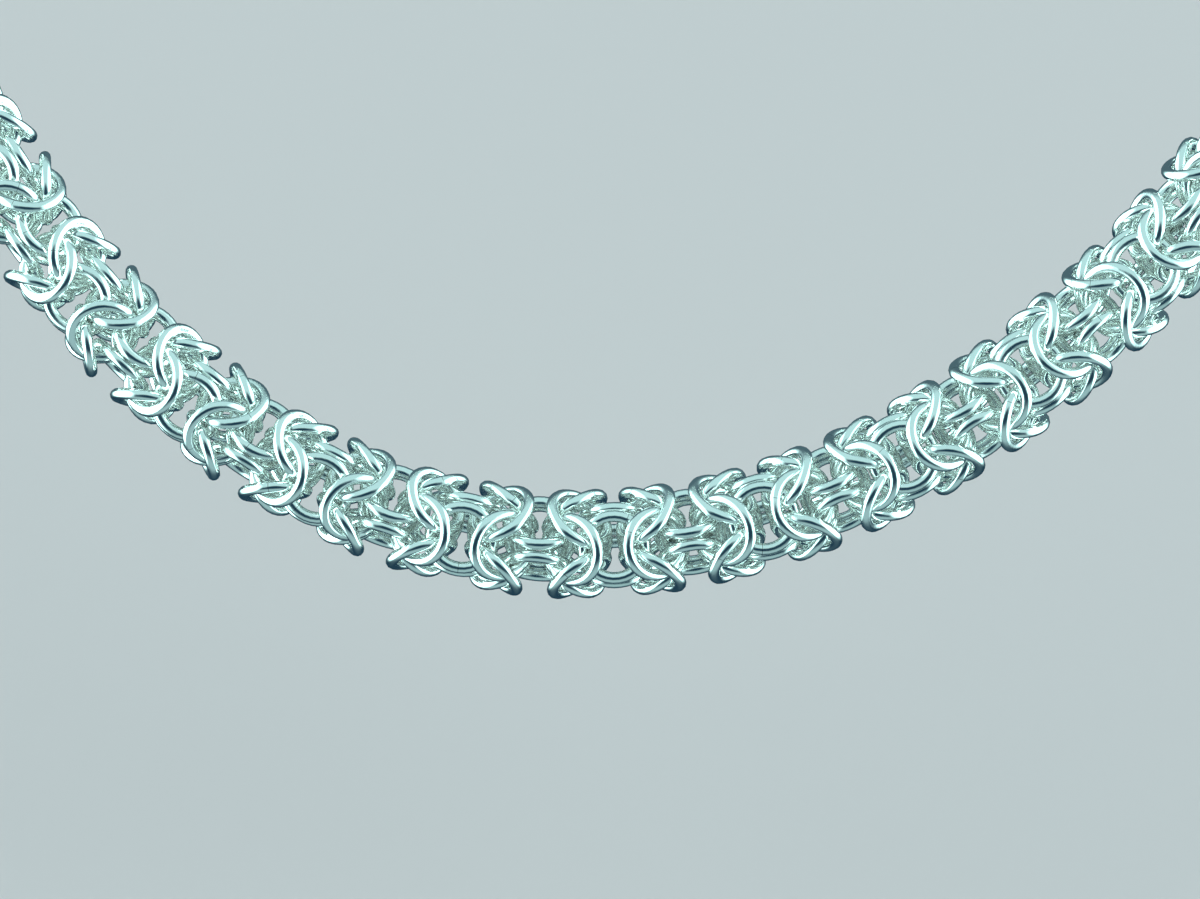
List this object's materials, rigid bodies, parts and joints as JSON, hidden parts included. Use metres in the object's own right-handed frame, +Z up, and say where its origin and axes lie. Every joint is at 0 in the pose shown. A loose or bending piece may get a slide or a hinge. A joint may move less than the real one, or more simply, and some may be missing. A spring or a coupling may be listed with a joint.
{
  "type": "chainmail necklace",
  "caption": "Round necklace woven from linked silver jump rings, closed at the nape by a plain barrel clasp and shaped as it is worn.",
  "frame": {"origin": "middle of the clasp's inner side, where the necklace bears on the nape of the neck", "axes": "+X across the loop towards the wearer's left, -Y towards the front of the wearer, +Z up"},
  "size_m": [0.146, 0.1208, 0.1115],
  "materials": {
    "ring_silver": "polished",
    "clasp_silver": "polished"
  },
  "bodies": {
    "root": {"chain": "ring_silver", "clasp": "clasp_silver"}
  },
  "joints": []
}
